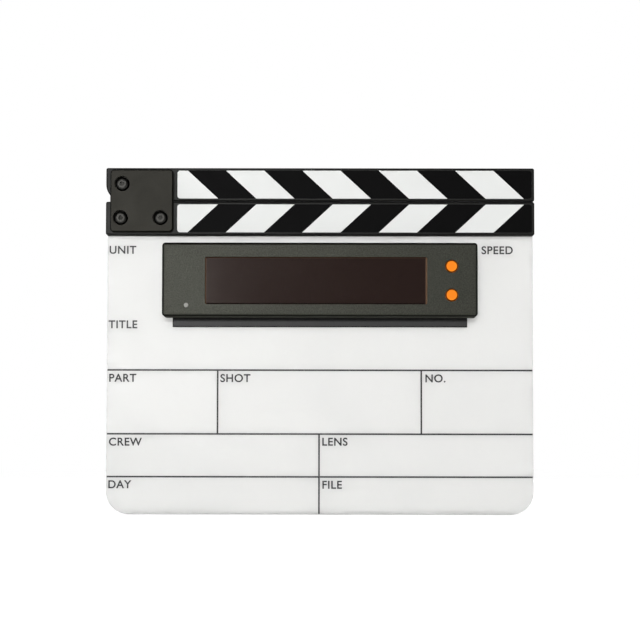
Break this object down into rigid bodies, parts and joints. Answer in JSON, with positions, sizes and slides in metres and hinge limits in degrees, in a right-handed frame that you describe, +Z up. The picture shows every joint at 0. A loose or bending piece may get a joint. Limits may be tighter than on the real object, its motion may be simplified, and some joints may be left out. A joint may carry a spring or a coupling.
{
  "type": "clapperboard",
  "caption": "Film clapperboard: white writing board with hinged striped clapper sticks along its top and a slim time display clamped below them, with push buttons.",
  "frame": {"origin": "middle of the board's flat bottom edge, halfway through its thickness", "axes": "+X to the right as seen from the front, +Y to the back, +Z up along the board"},
  "size_m": [0.288, 0.0296, 0.2327],
  "materials": {
    "board_acrylic": "white sheet, satin front for markers",
    "stick_metal": "dark anodised, fine blasted grain",
    "stripe_white": "satin laminate",
    "stripe_black": "satin laminate",
    "plate_metal": "dark anodised, fine blasted grain",
    "screw_steel": "black oxide",
    "nut_steel": "zinc plated",
    "bush_brass": "turned",
    "washer_plastic": "smooth",
    "bracket_metal": "dark anodised, drawn lengthwise",
    "cover_plastic": "fine spark-eroded texture",
    "insert_brass": "knurled outside",
    "window_tint": "smoked red-brown, polished",
    "circuit_laminate": "solder mask",
    "digit_resin": "dark face with pale segments",
    "battery_wrap": "foil wrap",
    "switch_plastic": "moulded",
    "button_orange": "satin moulded cap",
    "lamp_resin": "clear resin",
    "guide_clear": "frosted",
    "socket_steel": "plated sheet"
  },
  "bodies": {
    "board": {"slate_board": "board_acrylic", "lower_stick": "stick_metal", "lower_white_stripes": "stripe_white", "lower_black_stripes": "stripe_black", "hinge_plate": "plate_metal", "hinge_fixing_screws": "screw_steel", "pivot_screw": "screw_steel", "pivot_bush": "bush_brass", "thrust_washer": "washer_plastic", "end_washer": "nut_steel", "pivot_lock_nut": "nut_steel", "stick_screws": "screw_steel", "clamp_screws": "screw_steel", "display_bracket": "bracket_metal", "display_rear_cover": "cover_plastic", "display_front_cover": "cover_plastic", "threaded_inserts": "insert_brass", "display_window": "window_tint", "circuit_board": "circuit_laminate", "digit_modules": "digit_resin", "battery": "battery_wrap", "button_switches": "switch_plastic", "status_lamp": "lamp_resin", "light_guide": "guide_clear", "charging_socket": "socket_steel", "cover_screws": "screw_steel", "circuit_screws": "nut_steel"},
    "clapper": {"upper_stick": "stick_metal", "upper_white_stripes": "stripe_white", "upper_black_stripes": "stripe_black"},
    "upper_push": {"upper_button": "button_orange"},
    "lower_push": {"lower_button": "button_orange"}
  },
  "joints": [
    {"name": "stick_hinge", "type": "hinge", "parent": "board", "child": "clapper", "pos_m": [-0.13285, -0.008, 0.22155], "axis": [0, -1, 0], "range_deg": [0, 90]},
    {"name": "upper_button_press", "type": "slide", "parent": "board", "child": "upper_push", "axis": [0, 1, 0], "range_m": [0, 0.0006], "stiffness_N_per_m": 400},
    {"name": "lower_button_press", "type": "slide", "parent": "board", "child": "lower_push", "axis": [0, 1, 0], "range_m": [0, 0.0006], "stiffness_N_per_m": 400}
  ]
}
